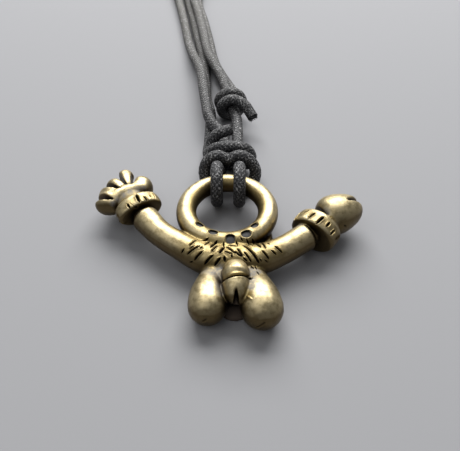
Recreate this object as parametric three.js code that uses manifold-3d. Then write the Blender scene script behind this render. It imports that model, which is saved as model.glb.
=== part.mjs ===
// A cast brass phallus amulet lying on a table, with the cotton cord that carries it at the neck.
// The arms reach to the left and right, and +Y points from the balls past the ring to the cord.
import * as THREE from "three";
import { mergeVertices } from "three/addons/utils/BufferGeometryUtils.js";
import Module from "manifold-3d";

const wasm = await Module();
wasm.setup();

// Driving sizes, in millimetres

// The ring and the gaps of the cord round its wire
const ringBore = 9.9;
const ringWire = 3.1;
const ringFromMiddle = 5.8; // from the middle of the casting to the middle of the ring
const cordDiameter = 2;
const wrapGap = 0.33; // between the wire and the cord round it
const tableGap = 0.15; // below the hitch
const endGap = 0.3; // where one stretch of the cord goes on into the next
const knotGap = 0.15; // between a knot's turns and the strand inside them

// The body below the ring
const bellyWidth = 9.6;
const bellyLength = 7.2;
const bellyHeight = 5.8;
const ballDiameterLeft = 5.7;
const ballDiameterRight = 6.2;
const phallusDiameter = 4;
const grooveWidth = 0.5;
const slitWidth = 0.5;
const slitLength = 2.2;
const slitDepth = 1.3;

// The cuff at the fist, and the collar behind the glans of the right arm
const cuffWidth = 7.2;
const cuffHeight = 4.8;
const cuffLength = 2.3;
const collarWidth = 7.5;
const collarHeight = 6.6;
const collarLength = 2.9;
const bandRound = 0.5; // rounding of the rims of both bands
const neckDiameter = 2.8; // between a rounded arm end and its band
const armEndRound = 0.4; // share of a half ball
const notchWidth = 0.45;
const notchDepth = 0.4;
const cuffNotches = 7;
const collarNotches = 9;
const notchSpacing = 2.6; // along the outside of the band

// The fist and the glans
const palmSize = [6.8, 5.8, 5.4];
const fingerLength = 4.8;
const fingerWidth = 3.4;
const fingerHeight = 4.4;
const fingerSlotFloor = 3.4; // above the table
const slotHeight = 5; // from a slot's floor to above the metal
const handBackSize = [6, 7.2, 4.1];
const knobDiameter = 2.8;
const lastFingerSize = [3.4, 3.2, 4.2];
const knuckleDiameter = 2;
const glansDiameter = 6.3;
const glansLength = 7.2;
const glansSlitFloor = 4.9; // above the table

// The rest of the cord, put away in two flat coils, one on the other, with a flat tie round both
const coilDiameter = 24.7; // of the outermost turn, along the middle of the cord
const coilPitch = 2.5; // from turn to turn and from layer to layer
const coilTurns = 1.5; // in each layer
const coilPlace = [-12, 99.5]; // from the ring's wire
const strandHeight = 1.05; // of the middle of a cord that lies on the table
const tieWidth = 3;
const tieThickness = 0.5;
const tieGap = 0.3;
const tieLift = 0.05; // between the tie and the table

// Worked out from them
const ringRadius = (ringBore + ringWire) / 2;
const cordRadius = cordDiameter / 2;
const wrapRadius = ringWire / 2 + wrapGap + cordRadius;
const ringHeight = wrapRadius + cordRadius + tableGap;
const coilHeight = tieLift + tieThickness + tieGap + cordRadius;

const brassFinish = { color: 0xa5854a, roughness: 0.32, metalness: 1 };
const cordFinish = { color: 0x232225, roughness: 0.9, metalness: 0 };
const tieFinish = { color: 0x2b2a2c, roughness: 0.95, metalness: 0 };

const vectorOf = ([x, y, z]) => new THREE.Vector3(x, y, z);
const stepFrom = (place, step) => step.map((move, i) => place[i] + move);
const radians = THREE.MathUtils.degToRad;

// Solids for joining and cutting

function solidOf(geometry) {
  const bare = new THREE.BufferGeometry();
  bare.setAttribute("position", geometry.getAttribute("position"));
  bare.setIndex(geometry.index);
  const merged = mergeVertices(bare, 1e-4);
  const triVerts = [];
  for (let i = 0; i < merged.index.count; i += 3) {
    const [a, b, c] = merged.index.array.slice(i, i + 3);
    if (a !== b && b !== c && c !== a) triVerts.push(a, b, c);
  }
  const vertProperties = merged.getAttribute("position").array;
  const mesh = new wasm.Mesh({ numProp: 3, vertProperties, triVerts: new Uint32Array(triVerts) });
  return new wasm.Manifold(mesh);
}

function geometryOf(solid) {
  const { vertProperties, triVerts } = solid.getMesh();
  const geometry = new THREE.BufferGeometry();
  geometry.setAttribute("position", new THREE.BufferAttribute(vertProperties, 3));
  geometry.setIndex(new THREE.BufferAttribute(triVerts, 1));
  geometry.computeVertexNormals();
  return geometry;
}

const joined = (geometries) => geometries.map(solidOf).reduce((all, solid) => all.add(solid));

// Turns a form made along +Y, with +X as its top, to a direction in the casting.
function aimed(geometry, centre, direction) {
  const along = vectorOf(direction).normalize();
  const top = new THREE.Vector3(0, 0, 1).addScaledVector(along, -along.z).normalize();
  const frame = new THREE.Matrix4().makeBasis(top, along, top.clone().cross(along));
  return geometry.applyMatrix4(frame.setPosition(vectorOf(centre)));
}

// A limb is a turned profile bent along its stations [x, y, z, radius]. Its ends are half balls, or flatter.
function limb(stations, sides = 14, stepsPerStation = 3, endRound = 1) {
  const path = new THREE.CatmullRomCurve3(stations.map(vectorOf));
  const swell = new THREE.SplineCurve(stations.map(([, , , r], i) => new THREE.Vector2(i, r)));
  const steps = stepsPerStation * (stations.length - 1);
  const length = path.getLength();
  const capSteps = 4;
  const profile = [];
  const radiusAt = (step) => swell.getPoint(path.getUtoTmapping(step / steps)).y;
  for (let i = 0; i < capSteps; i += 1) {
    const turn = (i / capSteps) * (Math.PI / 2);
    profile.push(new THREE.Vector2(radiusAt(0) * Math.sin(turn), -endRound * radiusAt(0) * Math.cos(turn)));
  }
  for (let i = 0; i <= steps; i += 1) profile.push(new THREE.Vector2(radiusAt(i), (length * i) / steps));
  for (let i = capSteps - 1; i >= 0; i -= 1) {
    const turn = (i / capSteps) * (Math.PI / 2);
    const beyond = endRound * radiusAt(steps) * Math.cos(turn);
    profile.push(new THREE.Vector2(radiusAt(steps) * Math.sin(turn), length + beyond));
  }
  const geometry = new THREE.LatheGeometry(profile, sides);
  const { tangents, normals, binormals } = path.computeFrenetFrames(steps, false);
  const corners = geometry.getAttribute("position");
  for (let i = 0; i < corners.count; i += 1) {
    const step = THREE.MathUtils.clamp(Math.round((corners.getY(i) / length) * steps), 0, steps);
    const place = path.getPointAt(step / steps);
    place.addScaledVector(tangents[step], corners.getY(i) - (length * step) / steps);
    place.addScaledVector(binormals[step], corners.getX(i));
    place.addScaledVector(normals[step], corners.getZ(i));
    corners.setXYZ(i, place.x, place.y, place.z);
  }
  return geometry;
}

// An ellipsoid with its first half-axis turned in plan.
function ellipsoid(centre, halfAxes, turn = 0) {
  const geometry = new THREE.SphereGeometry(1, 16, 10).rotateX(Math.PI / 2).scale(...halfAxes);
  return geometry.rotateZ(radians(turn)).translate(...centre);
}

// A barrel band with a row of graver notches across its outside, centred on its top.
function notchedBand(width, height, length, notches, slant) {
  const outer = width / 2;
  const outline = new THREE.Path();
  outline.moveTo(0, -length / 2);
  outline.lineTo(outer - bandRound, -length / 2);
  outline.quadraticCurveTo(outer, -length / 2, outer, 0);
  outline.quadraticCurveTo(outer, length / 2, outer - bandRound, length / 2);
  outline.lineTo(0, length / 2);
  let band = solidOf(new THREE.LatheGeometry(outline.getPoints(3), 26));
  const spacing = notchSpacing / width;
  for (let i = 0; i < notches; i += 1) {
    const notch = new THREE.BoxGeometry(2 * notchDepth, 0.62 * length, notchWidth).rotateX(radians(slant));
    notch.translate(outer, 0, 0).rotateY((i - (notches - 1) / 2) * spacing);
    band = band.subtract(solidOf(notch));
  }
  return geometryOf(band).scale(height / width, 1, 1);
}

// The casting: its places are measured from the middle of the ring, or of the ring's wire below it.

function ring() {
  return new THREE.TorusGeometry(ringRadius, ringWire / 2, 12, 44).translate(0, 0, ringHeight);
}

const leftArm = [
  [0.5, -3.1, 2.9, 2.6],
  [-3.4, -2.3, 3.1, 2.45],
  [-7.0, -0.2, 3.3, 2.15],
  [-10.4, 2.3, 3.5, 2.05],
  [-12.8, 5.05, 3.65, 2.2],
];
const rightArm = [
  [0.5, -3.1, 2.9, 2.6],
  [4.6, -2.7, 3.1, 2.4],
  [8.4, -1.1, 3.4, 2.15],
  [12.0, 1.25, 3.7, 2.15],
];

const bellyMiddle = [0.7, -2.7, 2.6];

function belly() {
  return ellipsoid(bellyMiddle, [bellyWidth / 2, bellyLength / 2, bellyHeight / 2]);
}

// Each ball is an egg on a narrower neck, and a low web joins them behind the recess below the phallus.
const ballSink = 0.1; // the flat that each ball stands on
const leftBall = [
  [-1.9, -5.0, 2.5, 1.6],
  [-2.35, -7.2, 2.5, 1.9],
  [-2.65, -9.1, ballDiameterLeft / 2 - ballSink, (0.93 * ballDiameterLeft) / 2],
  [-2.75, -10.8, ballDiameterLeft / 2 - ballSink, ballDiameterLeft / 2],
];
const rightBall = [
  [3.4, -4.9, 2.5, 1.6],
  [3.95, -7.2, 2.6, 2.0],
  [4.55, -9.5, ballDiameterRight / 2 - ballSink, (0.93 * ballDiameterRight) / 2],
  [4.95, -11.4, ballDiameterRight / 2 - ballSink, ballDiameterRight / 2],
];
const web = [
  [0.8, -3.5, 2.0, 1.6],
  [1.0, -8.3, 1.2, 1.5],
];

function balls() {
  return [limb(leftBall, 16), limb(rightBall, 16), limb(web, 10, 2)];
}

// The small phallus between the balls, with the groove behind its glans and the slit at its end.
const phallusTop = [
  [1.2, -5.2, 4.2],
  [1.25, -7.0, 5.1],
  [1.28, -8.9, 4.9],
  [1.28, -10.1, 4.2],
];
const phallusSwell = [0.95, 1, 1, 0.8];
const groovePlace = [1.27, -8.1, 5.05];
const grooveWay = [0.15, -0.98, -0.12];
const slitPlace = [1.28, -11.3, 5.3];
const slitTilt = -40; // in degrees

function phallus() {
  return limb(phallusTop.map((place, i) => [...place, (phallusSwell[i] * phallusDiameter) / 2]));
}

function phallusCuts() {
  const groove = new THREE.TorusGeometry(phallusDiameter / 2, grooveWidth / 2, 6, 28).rotateX(Math.PI / 2);
  aimed(groove, groovePlace, grooveWay);
  const slit = new THREE.BoxGeometry(slitWidth, slitDepth, slitLength).rotateX(radians(slitTilt));
  return [groove, slit.translate(...slitPlace)];
}

// Each band stands apart from the rounded end of its arm, and a narrower neck joins them.
const cuffFromArm = [-1.3, 1.95, 0.55];
const cuffPlace = stepFrom(leftArm.at(-1), cuffFromArm);
const cuffWay = [-0.52, 0.85, 0.03];
const collarFromArm = [1.8, 1.55, -0.1];
const collarPlace = stepFrom(rightArm.at(-1), collarFromArm);
const collarWay = [0.6, 0.8, 0.03];

function neck(arm, bandPlace) {
  const [x, y, z] = arm.at(-1);
  return limb([[x, y, z, neckDiameter / 2], [bandPlace[0], bandPlace[1], z, neckDiameter / 2]], 12, 2);
}

function cuff() {
  const band = notchedBand(cuffWidth, cuffHeight, cuffLength, cuffNotches, 0);
  return aimed(band, cuffPlace, cuffWay);
}

function collar() {
  const band = notchedBand(collarWidth, collarHeight, collarLength, collarNotches, 18);
  return aimed(band, collarPlace, collarWay);
}

// The fist: a palm on the cuff, three fingers that fan out from it, the thumb's knob, a last finger and the
// knuckles. Slots, knob, last finger and knuckles are placed from the palm.
const palmFromCuff = [-1.8, 2.5, -0.3];
const palm = stepFrom(cuffPlace, palmFromCuff);
const palmTurn = 115; // in degrees, as the turns below
const handBackTurn = 163;
const handBackReach = 2.1;
const fingerTurns = [196, 164, 136];
const fingerReaches = [3.3, 2.6, 2.75]; // from the palm to the middle of each finger
const fingerSlots = [
  { tip: [-2.4, -1.7], mouth: [-5.9, -0.2], width: 1.1 },
  { tip: [-1.4, 0.45], mouth: [-4.9, 2.65], width: 1.1 },
  { tip: [-0.3, 1.4], mouth: [-2.9, 5.2], width: 1.3 },
  { tip: [0.6, 1.0], mouth: [0.6, 4.9], width: 1.5 },
];
const knobTip = [-1.2, 4.95, -0.1];
const lastFinger = [1.75, 2.65, 0];
const knuckles = [
  [-2.5, -1.9, 1.2],
  [-1.3, -0.5, 1.6],
  [0.3, 0.3, 1.7],
  [2.8, 1.2, 1.5],
];
const halves = (size) => size.map((side) => side / 2);

function fromPalm(turn, reach) {
  return [palm[0] + reach * Math.cos(radians(turn)), palm[1] + reach * Math.sin(radians(turn)), palm[2]];
}

function fist() {
  const finger = [fingerLength, fingerWidth, fingerHeight];
  return [
    ellipsoid(palm, halves(palmSize), palmTurn),
    ellipsoid(fromPalm(handBackTurn, handBackReach), halves(handBackSize), handBackTurn),
    ...fingerTurns.map((turn, i) => ellipsoid(fromPalm(turn, fingerReaches[i]), halves(finger), turn)),
    limb([palm, stepFrom(palm, knobTip)].map((place) => [...place, knobDiameter / 2]), 14, 3),
    ellipsoid(stepFrom(palm, lastFinger), halves(lastFingerSize)),
    limb(knuckles.map((step) => [...stepFrom(palm, step), knuckleDiameter / 2]), 12),
  ];
}

// A slot cut from above that widens from its tip to its mouth, down to a floor above the table. Its tip and its
// mouth are placed from the form that it cuts.
function wedgeSlot(form, { tip, mouth, width }, floor) {
  const [dx, dy] = [mouth[0] - tip[0], mouth[1] - tip[1]];
  const outline = new THREE.Shape();
  outline.moveTo(0, 0);
  outline.lineTo(Math.hypot(dx, dy), -width / 2);
  outline.lineTo(Math.hypot(dx, dy), width / 2);
  const slot = new THREE.ExtrudeGeometry(outline, { depth: slotHeight, bevelEnabled: false });
  return slot.rotateZ(Math.atan2(dy, dx)).translate(...stepFrom(form, tip), floor);
}

// The glans sits on the far side of the collar, with its slit cut in from the end.
const glansFromCollar = [1, 1.7, 0.5];
const glansBase = stepFrom(collarPlace, glansFromCollar);
const glansWay = [0.9, 0.42, 0];
const glansSlit = { tip: [4.3, 2.1], mouth: [6.8, 2.95], width: 1 };

function glans() {
  const outline = new THREE.Path();
  const widest = glansDiameter / 2;
  outline.moveTo(0, 0);
  outline.lineTo(0.7 * widest, 0);
  outline.splineThru([
    new THREE.Vector2(widest, 0.22 * glansLength),
    new THREE.Vector2(0.97 * widest, 0.45 * glansLength),
    new THREE.Vector2(0.78 * widest, 0.73 * glansLength),
    new THREE.Vector2(0.44 * widest, 0.93 * glansLength),
  ]);
  outline.lineTo(0, glansLength);
  return aimed(new THREE.LatheGeometry(outline.getPoints(2), 20), glansBase, glansWay);
}

function casting() {
  const body = [
    belly(),
    limb(leftArm, 14, 3, armEndRound),
    limb(rightArm, 14, 4, armEndRound),
    ...balls(),
    phallus(),
    neck(leftArm, cuffPlace),
    cuff(),
    neck(rightArm, collarPlace),
    collar(),
    ...fist(),
    glans(),
  ];
  const cuts = [
    ...phallusCuts(),
    ...fingerSlots.map((slot) => wedgeSlot(palm, slot, fingerSlotFloor)),
    wedgeSlot(glansBase, glansSlit, glansSlitFloor),
  ];
  let metal = joined(body).subtract(joined(cuts));
  metal = solidOf(geometryOf(metal).translate(0, -ringRadius, 0)).add(solidOf(ring()));
  const reach = 100;
  const below = new THREE.BoxGeometry(reach, reach, reach).translate(0, 0, -reach / 2);
  return geometryOf(metal.subtract(solidOf(below)));
}

// The cord: its places are measured from the middle of the ring's wire where the hitch holds it.

function tube(path, steps, sides) {
  const section = new THREE.Shape();
  for (let i = 0; i < sides; i += 1) {
    const turn = ((i + 0.5) / sides) * 2 * Math.PI;
    const corner = [cordRadius * Math.cos(turn), cordRadius * Math.sin(turn)];
    if (i === 0) section.moveTo(...corner);
    else section.lineTo(...corner);
  }
  return new THREE.ExtrudeGeometry(section, { steps, extrudePath: path, curveSegments: 1 });
}

function strand(points, steps) {
  return tube(new THREE.CatmullRomCurve3(points.map(vectorOf)), steps, 8);
}

// A turn of the cord round the wire, over it and down through the ring.
function turnRoundWire(x, angles) {
  const wireY = Math.sqrt(ringRadius ** 2 - x ** 2) - ringRadius;
  return angles.map((angle) => {
    const turn = radians(angle);
    return [x, wireY + wrapRadius * Math.cos(turn), ringHeight + wrapRadius * Math.sin(turn)];
  });
}

// The cow hitch: from one leg over the wire, through the ring, across both legs and back to the other leg.
const downThroughRing = [36, 62, 88, 114, 140, 166, 192, 218, 244, 270];
const hitchPoints = [
  [-0.75, 5.8, 3.1],
  [-1.2, 4.3, 2.9],
  ...turnRoundWire(-1.7, downThroughRing),
  [-2.6, 1.9, 1.2],
  [-3.6, 2.9, 1.9],
  [-3.95, 3.9, 3.3],
  [-3.2, 4.75, 4.9],
  [-1.6, 4.95, 5.7],
  [0.2, 4.75, 5.0],
  [2.0, 5.0, 5.7],
  [3.8, 4.7, 4.9],
  [4.8, 3.8, 3.3],
  [4.5, 2.9, 1.9],
  [3.1, 1.8, 1.2],
  ...turnRoundWire(2.0, [...downThroughRing].reverse()),
  [1.85, 4.3, 2.9],
  [1.8, 5.8, 3.1],
];

// The two legs that leave the hitch for the neck
const legOnePoints = [
  [1.8, 5.8 + endGap, 3.15],
  [1.8, 7.5, 3.3],
  [1.8, 11.5, 3.3],
  [1.8, 15.5, 3.3],
  [1.7, 17.9, 3.3],
  [1.32, 19.95, 3.3],
  [0.8, 22.5, 3.3],
  [0, 26.4, 3.3],
  [-0.8, 30.34, 3.3],
  [-2.0, 34.5, 3.2],
  [-4.1, 41, 3.1],
  [-5.45, 49.5, 3.1],
  [-6.85, 58.3, 3.1],
  [-8.55, 67.5, 3.1],
  [-8.3, 73.5, 3.5],
  [-6.6, 80.5, 4.7],
  [-3.0, 87.5, 7.0],
  [-0.3, 93, 8.8],
];
const legTwoPoints = [
  [-0.72, 5.8 + endGap, 3.15],
  [-0.6, 7.5, 3.3],
  [-0.6, 11.5, 3.3],
  [-0.7, 13.4, 3.1],
  [-1.6, 15.2, 3.0],
  [-2.9, 17.2, 3.2],
  [-3.7, 19.6, 3.3],
  [-4.1, 22.5, 3.3],
  [-4.75, 27.5, 3.3],
  [-5.3, 32.5, 3.2],
  [-6.2, 37.5, 2.8],
  [-7.3, 41.3, 2.2],
  [-8.15, 45.5, 1.5],
  [-8.9, 49.5, strandHeight],
  [-10.3, 58.3, strandHeight],
  [-12.0, 67.5, strandHeight],
  [-13.4, 73.5, strandHeight],
  [-16.5, 80.5, strandHeight],
  [-20.8, 87.5, 1.3],
  [-23.7, 93.1, 1.7],
];

// The tails that come back from the neck and end in the sliding knots
const tailOnePoints = [
  [-3.4, 13.5 + endGap, 1.1],
  [-3.3, 17.5, strandHeight],
  [-3.3, 22.5, strandHeight],
  [-4.2, 27.5, strandHeight],
  [-4.6, 33.5, strandHeight],
  [-5.3, 41.3, strandHeight],
  [-6.6, 49.5, strandHeight],
  [-8.0, 58.3, strandHeight],
  [-9.7, 67.5, strandHeight],
  [-11.0, 73.5, 1.3],
  [-14.2, 80.5, 2.3],
  [-19.0, 87.5, 4.4],
  [-23.0, 93, 6.3],
];
const tailTwoPoints = [
  [1.82, 27 + endGap, 1.1],
  [1.4, 29.2, strandHeight],
  [0, 32.7, strandHeight],
  [-1.5, 36.5, strandHeight],
  [-2.9, 41, strandHeight],
  [-4.25, 49.5, strandHeight],
  [-5.65, 58.3, strandHeight],
  [-7.35, 67.5, strandHeight],
  [-7.0, 73.5, strandHeight],
  [-5.2, 80.5, 1.4],
  [-2.0, 87.5, 2.8],
  [-0.1, 93, 4.0],
];

// The lower knot wraps both legs once and ends in a stub on top.
const lowerKnotPoints = [
  [-3.4, 13.5, 1.1],
  [-3.5, 10.7, 1.1],
  [-2.6, 8.7, 1.1],
  [0.6, 7.9, 1.1],
  [3.3, 7.6, 1.5],
  [4.1, 7.4, 3.3],
  [3.2, 7.3, 5.2],
  [0.6, 7.2, 5.9],
  [-1.9, 7.3, 5.4],
  [-2.9, 7.6, 4.3],
  [-3.05, 8.4, 3.45],
  [-3.05, 9.5, 3.5],
  [-2.8, 10.4, 4.3],
  [-1.9, 10.9, 5.4],
  [-0.6, 11.1, 6.0],
  [0.6, 11.4, 6.2],
];

// The upper knot wraps leg one twice: places along the leg, to the right of it, and above the table.
const upperKnotMiddle = [0.8, 22.5];
const upperKnotAlong = new THREE.Vector2(-0.2, 0.98).normalize();
const upperKnotHeight = 3.3;
const upperKnotTurn = [-90, -135, -180, -225, -270, -315, -360, -405, -450, -495, -540, -585, -630];
const upperKnotPoints = [
  [4.2, 1.9, 1.1],
  [3.3, 1.8, 1.1],
  [2.6, 1.1, 1.1],
  ...upperKnotTurn.map((angle) => [
    1.1 + ((angle + 270) * (cordDiameter + 2 * knotGap)) / 360,
    (cordDiameter + knotGap) * Math.cos(radians(angle)),
    upperKnotHeight + (cordDiameter + knotGap) * Math.sin(radians(angle)),
  ]),
  [-2.7, 1.9, 5.0],
  [-4.0, 2.6, 4.2],
  [-5.0, 3.0, 3.7],
].map(([along, right, height]) => [
  upperKnotMiddle[0] + along * upperKnotAlong.x + right * upperKnotAlong.y,
  upperKnotMiddle[1] + along * upperKnotAlong.y - right * upperKnotAlong.x,
  height,
]);

// A flat coil: in by the lower layer, up a layer in half a turn, and out again by the upper layer.
class CoilPath extends THREE.Curve {
  constructor(lowerHeight) {
    super();
    this.lowerHeight = lowerHeight;
    this.lead = cordDiameter; // the straight end beside each layer's outermost turn
    this.turns = 2 * coilTurns + 0.5;
  }

  getPoint(t, target = new THREE.Vector3()) {
    const leadTurns = this.lead / (Math.PI * coilDiameter);
    const place = THREE.MathUtils.lerp(-leadTurns, this.turns + leadTurns, t);
    const turned = THREE.MathUtils.clamp(place, 0, this.turns);
    const climb = THREE.MathUtils.clamp((turned - coilTurns) / 0.5, 0, 1);
    const drawnIn = Math.min(turned, coilTurns, this.turns - turned);
    const dip = 0.2 * coilPitch * Math.sin(climb * Math.PI);
    const radius = coilDiameter / 2 - coilPitch * drawnIn - dip;
    const angle = Math.PI * (1 - 2 * turned);
    return target.set(
      coilPlace[0] + radius * Math.cos(angle),
      coilPlace[1] + radius * Math.sin(angle) - Math.abs(place - turned) * Math.PI * coilDiameter,
      this.lowerHeight + coilPitch * THREE.MathUtils.smoothstep(climb, 0, 1),
    );
  }

  // Least distance between two stretches of the cord in this coil, surface to surface.
  leastGap() {
    const count = 600;
    const points = this.getSpacedPoints(count);
    const apart = Math.ceil((3 * cordDiameter * count) / this.getLength());
    let least = Infinity;
    for (let i = 0; i <= count; i += 1) {
      for (let j = i + apart; j <= count; j += 1) least = Math.min(least, points[i].distanceTo(points[j]));
    }
    return least - cordDiameter;
  }
}

const coilOnePath = new CoilPath(coilHeight);
const coilTwoPath = new CoilPath(coilHeight + 2 * coilPitch);
for (const path of [coilOnePath, coilTwoPath]) {
  const gap = path.leastGap().toFixed(2);
  console.log("least gap in a coil", gap, "mm, length", path.getLength().toFixed(0), "mm");
}

function coil(path) {
  const stepsPerTurn = 24;
  return tube(path, path.turns * stepsPerTurn + 2, 6);
}

function roundedRectangle(left, low, right, high, corner) {
  const outline = new THREE.Shape();
  outline.moveTo(left + corner, low);
  outline.absarc(right - corner, low + corner, corner, -Math.PI / 2, 0);
  outline.absarc(right - corner, high - corner, corner, 0, Math.PI / 2);
  outline.absarc(left + corner, high - corner, corner, Math.PI / 2, Math.PI);
  outline.absarc(left + corner, low + corner, corner, Math.PI, 1.5 * Math.PI);
  return outline;
}

// The tie goes round both coils at their far side, a quarter turn from where the strands come in.
function tie() {
  const near = coilDiameter / 2 - coilPitch * (coilTurns - 0.25) - cordRadius - tieGap;
  const far = coilDiameter / 2 - coilPitch * 0.25 + cordRadius + tieGap;
  const low = coilHeight - cordRadius - tieGap;
  const high = coilHeight + 3 * coilPitch + cordRadius + tieGap;
  const edge = tieThickness;
  const outline = roundedRectangle(near - edge, low - edge, far + edge, high + edge, cordRadius + edge);
  outline.holes.push(roundedRectangle(near, low, far, high, cordRadius));
  const extrusion = { depth: tieWidth, bevelEnabled: false, curveSegments: 4 };
  const geometry = new THREE.ExtrudeGeometry(outline, extrusion);
  const acrossCoil = new THREE.Matrix4().makeBasis(
    new THREE.Vector3(0, 1, 0),
    new THREE.Vector3(0, 0, 1),
    new THREE.Vector3(1, 0, 0),
  );
  return geometry.applyMatrix4(acrossCoil).translate(coilPlace[0] - tieWidth / 2, coilPlace[1], 0);
}

// Each strand ends a gap away from its coil, in line with the coil's straight end.
function toCoil(points, path, share) {
  const end = path.getPoint(share);
  return [...points, [end.x, end.y - endGap, end.z]];
}

// The assembly

function named(name, geometry, finish) {
  const mesh = new THREE.Mesh(geometry, new THREE.MeshStandardMaterial(finish));
  mesh.name = name;
  return mesh;
}

const cord = new THREE.Group();
cord.position.y = ringRadius;
cord.add(
  named("cord_hitch", strand(hitchPoints, 54), cordFinish),
  named("leg_one", strand(toCoil(legOnePoints, coilTwoPath, 1), 24), cordFinish),
  named("leg_two", strand(toCoil(legTwoPoints, coilOnePath, 0), 24), cordFinish),
  named("tail_one", strand(toCoil(tailOnePoints, coilTwoPath, 0), 20), cordFinish),
  named("tail_two", strand(toCoil(tailTwoPoints, coilOnePath, 1), 18), cordFinish),
  named("lower_knot", strand(lowerKnotPoints, 24), cordFinish),
  named("upper_knot", strand(upperKnotPoints, 26), cordFinish),
  named("coil_one", coil(coilOnePath), cordFinish),
  named("coil_two", coil(coilTwoPath), cordFinish),
  named("coil_tie", tie(), tieFinish),
);

const pendant = new THREE.Group();
pendant.position.y = ringFromMiddle;
pendant.add(named("amulet", casting(), brassFinish), cord);

const amuletOnCord = new THREE.Group();
amuletOnCord.add(pendant);

export default amuletOnCord;
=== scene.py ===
# Cast brass phallus amulet lying on a table, hitched on its black waxed neck cord.
import math
import bmesh
import bpy
import numpy as np
from mathutils import Matrix, Vector
from mathutils.bvhtree import BVHTree
from mathutils.kdtree import KDTree


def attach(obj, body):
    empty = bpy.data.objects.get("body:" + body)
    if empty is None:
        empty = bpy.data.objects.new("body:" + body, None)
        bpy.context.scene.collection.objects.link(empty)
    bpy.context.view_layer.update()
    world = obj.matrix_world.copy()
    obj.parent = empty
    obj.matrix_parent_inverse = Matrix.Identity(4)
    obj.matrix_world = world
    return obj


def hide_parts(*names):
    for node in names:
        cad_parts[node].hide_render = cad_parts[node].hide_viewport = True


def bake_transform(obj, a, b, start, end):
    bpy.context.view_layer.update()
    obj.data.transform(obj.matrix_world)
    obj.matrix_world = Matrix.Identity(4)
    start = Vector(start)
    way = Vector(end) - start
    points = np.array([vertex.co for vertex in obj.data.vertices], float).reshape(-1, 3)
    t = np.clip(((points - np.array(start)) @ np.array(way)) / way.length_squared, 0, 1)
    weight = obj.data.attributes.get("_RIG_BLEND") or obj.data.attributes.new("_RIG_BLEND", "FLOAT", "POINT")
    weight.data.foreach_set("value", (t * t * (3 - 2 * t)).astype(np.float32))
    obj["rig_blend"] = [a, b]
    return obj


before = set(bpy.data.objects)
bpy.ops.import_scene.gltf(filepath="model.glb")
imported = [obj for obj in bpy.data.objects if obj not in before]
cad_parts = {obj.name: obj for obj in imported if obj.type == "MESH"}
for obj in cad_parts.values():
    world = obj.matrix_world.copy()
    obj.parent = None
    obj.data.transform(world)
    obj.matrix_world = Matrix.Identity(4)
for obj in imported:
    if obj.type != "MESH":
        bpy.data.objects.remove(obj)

mm = 0.001  # pieces are drawn in millimetres and stored in metres
scene = bpy.context.scene
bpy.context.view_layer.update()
chance = np.random.default_rng(7)

# the camera, at the photograph's viewing angle
cameraSetup = {"place": (0.45, -60.29, 72.88), "tilt": 42.47, "lens": 46.96, "sensor": 36.0, "near": 1.0}


def makeCamera(setup):
    lens = bpy.data.cameras.new("tableCamera")
    lens.lens = setup["lens"]
    lens.sensor_fit = "HORIZONTAL"
    lens.sensor_width = setup["sensor"]
    lens.clip_start = setup["near"] * mm
    camera = bpy.data.objects.new("tableCamera", lens)
    camera.location = Vector(setup["place"]) * mm
    camera.rotation_euler = (math.radians(setup["tilt"]), 0, 0)
    scene.collection.objects.link(camera)
    scene.camera = camera


makeCamera(cameraSetup)


# lines through points
def throughPoints(points, perSpan=24):
    p = np.array(points, float)
    p = np.vstack([2 * p[0] - p[1], p, 2 * p[-1] - p[-2]])
    t = np.linspace(0, 1, perSpan, endpoint=False)[:, None]
    spans = []
    for a, b, c, d in zip(p, p[1:], p[2:], p[3:]):
        ga, gb, gc = (math.sqrt(max(np.linalg.norm(v), 1e-6)) for v in (b - a, c - b, d - c))
        leave = ((b - a) / ga - (c - a) / (ga + gb) + (c - b) / gb) * gb
        arrive = ((c - b) / gb - (d - b) / (gb + gc) + (d - c) / gc) * gb
        spans.append((2 * t**3 - 3 * t**2 + 1) * b + (t**3 - 2 * t**2 + t) * leave
                     + (3 * t**2 - 2 * t**3) * c + (t**3 - t**2) * arrive)
    return np.vstack(spans + [p[-2:-1]])


def runAlong(line):
    return np.concatenate([[0], np.cumsum(np.linalg.norm(np.diff(line, axis=0), axis=1))])


def evenSteps(line, step):
    run = runAlong(line)
    at = np.linspace(0, run[-1], max(2, round(run[-1] / step)) + 1)
    return np.stack([np.interp(at, run, line[:, k]) for k in range(3)], 1)


def newObject(name, mesh):
    made = bpy.data.objects.new(name, mesh)
    scene.collection.objects.link(made)
    return made


def finishedMesh(made):
    graph = bpy.context.evaluated_depsgraph_get()
    return bpy.data.meshes.new_from_object(made.evaluated_get(graph))


def dropObject(made):
    data = made.data
    bpy.data.objects.remove(made)
    (bpy.data.curves if isinstance(data, bpy.types.Curve) else bpy.data.meshes).remove(data)


def floatLayer(mesh, name, values):
    held = mesh.attributes.get(name) or mesh.attributes.new(name, "FLOAT", "POINT")
    held.data.foreach_set("value", np.asarray(values, np.float32).ravel())


def pointValues(mesh, name):
    flat = np.empty(len(mesh.vertices) * 3, np.float32)
    mesh.vertices.foreach_get(name, flat)
    return flat.reshape(-1, 3).astype(float)


def smoothStep(share):
    return share**2 * (3 - 2 * share)


# pushes a rim of edges out and gives the new points and edges
def extrudeRim(bm, rim):
    out = bmesh.ops.extrude_edge_only(bm, edges=rim)["geom"]
    fresh = {g for g in out if isinstance(g, bmesh.types.BMVert)}
    edges = [g for g in out if isinstance(g, bmesh.types.BMEdge) and all(v in fresh for v in g.verts)]
    return list(fresh), edges


goldenTurn = 2.4  # spreads points evenly over a disc, one after the other


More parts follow.
